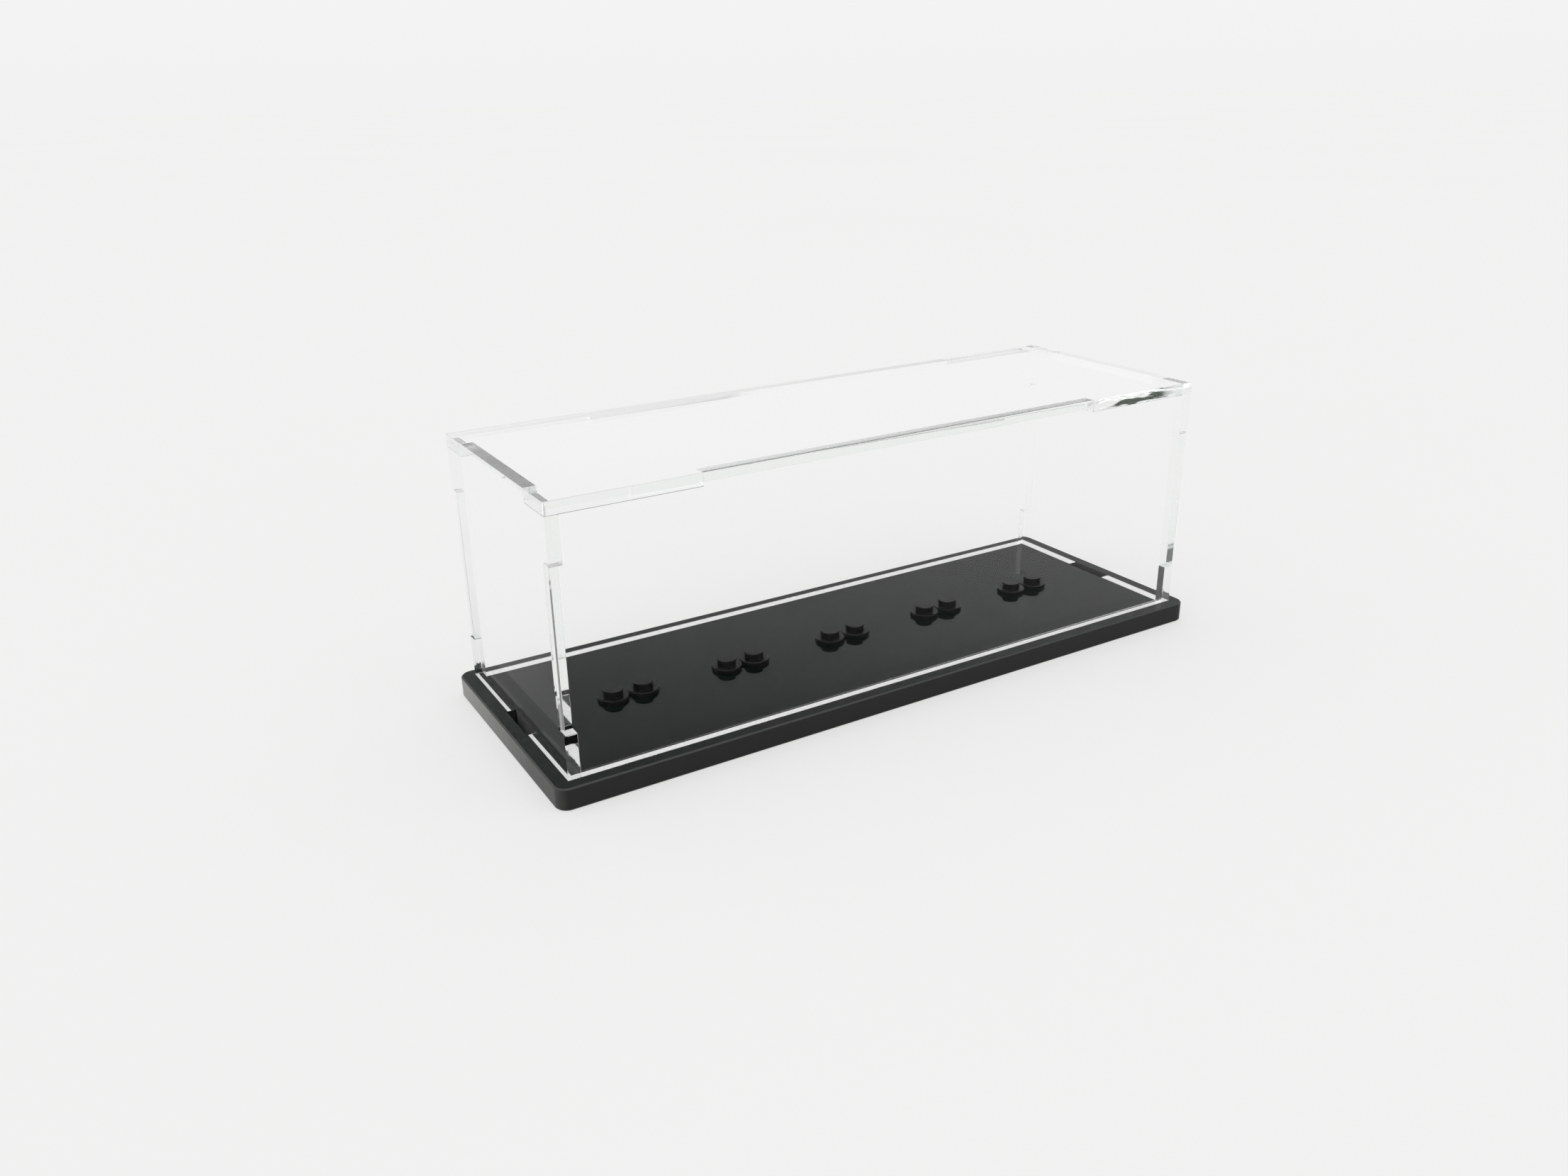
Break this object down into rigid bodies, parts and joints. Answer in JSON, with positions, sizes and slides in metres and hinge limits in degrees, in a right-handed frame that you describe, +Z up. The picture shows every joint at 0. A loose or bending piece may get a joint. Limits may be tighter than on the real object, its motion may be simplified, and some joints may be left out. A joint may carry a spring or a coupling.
{
  "type": "figure display case",
  "caption": "Long low display case: a clear cover of interlocking flat panels lifts off a gloss black base that carries pairs of round studs for small figures.",
  "frame": {"origin": "centre of the underside of the base", "axes": "+X along the row of studs to the right, -Y towards the front, +Z up"},
  "size_m": [0.1896, 0.0684, 0.0685],
  "materials": {
    "clear_panel": "clear cast acrylic with polished faces and laser-cut edges",
    "black_base": "gloss black cast acrylic",
    "black_stud": "moulded black plastic, slightly satin"
  },
  "bodies": {
    "base": {"base_plate": "black_base", "stud_1_left": "black_stud", "stud_1_right": "black_stud", "stud_2_left": "black_stud", "stud_2_right": "black_stud", "stud_3_left": "black_stud", "stud_3_right": "black_stud", "stud_4_left": "black_stud", "stud_4_right": "black_stud", "stud_5_left": "black_stud", "stud_5_right": "black_stud"},
    "cover": {"front_panel": "clear_panel", "back_panel": "clear_panel", "left_panel": "clear_panel", "right_panel": "clear_panel", "top_panel": "clear_panel"}
  },
  "joints": [
    {"name": "cover_lift", "type": "slide", "parent": "base", "child": "cover", "axis": [0, 0, 1], "range_m": [0, 0.1]}
  ]
}
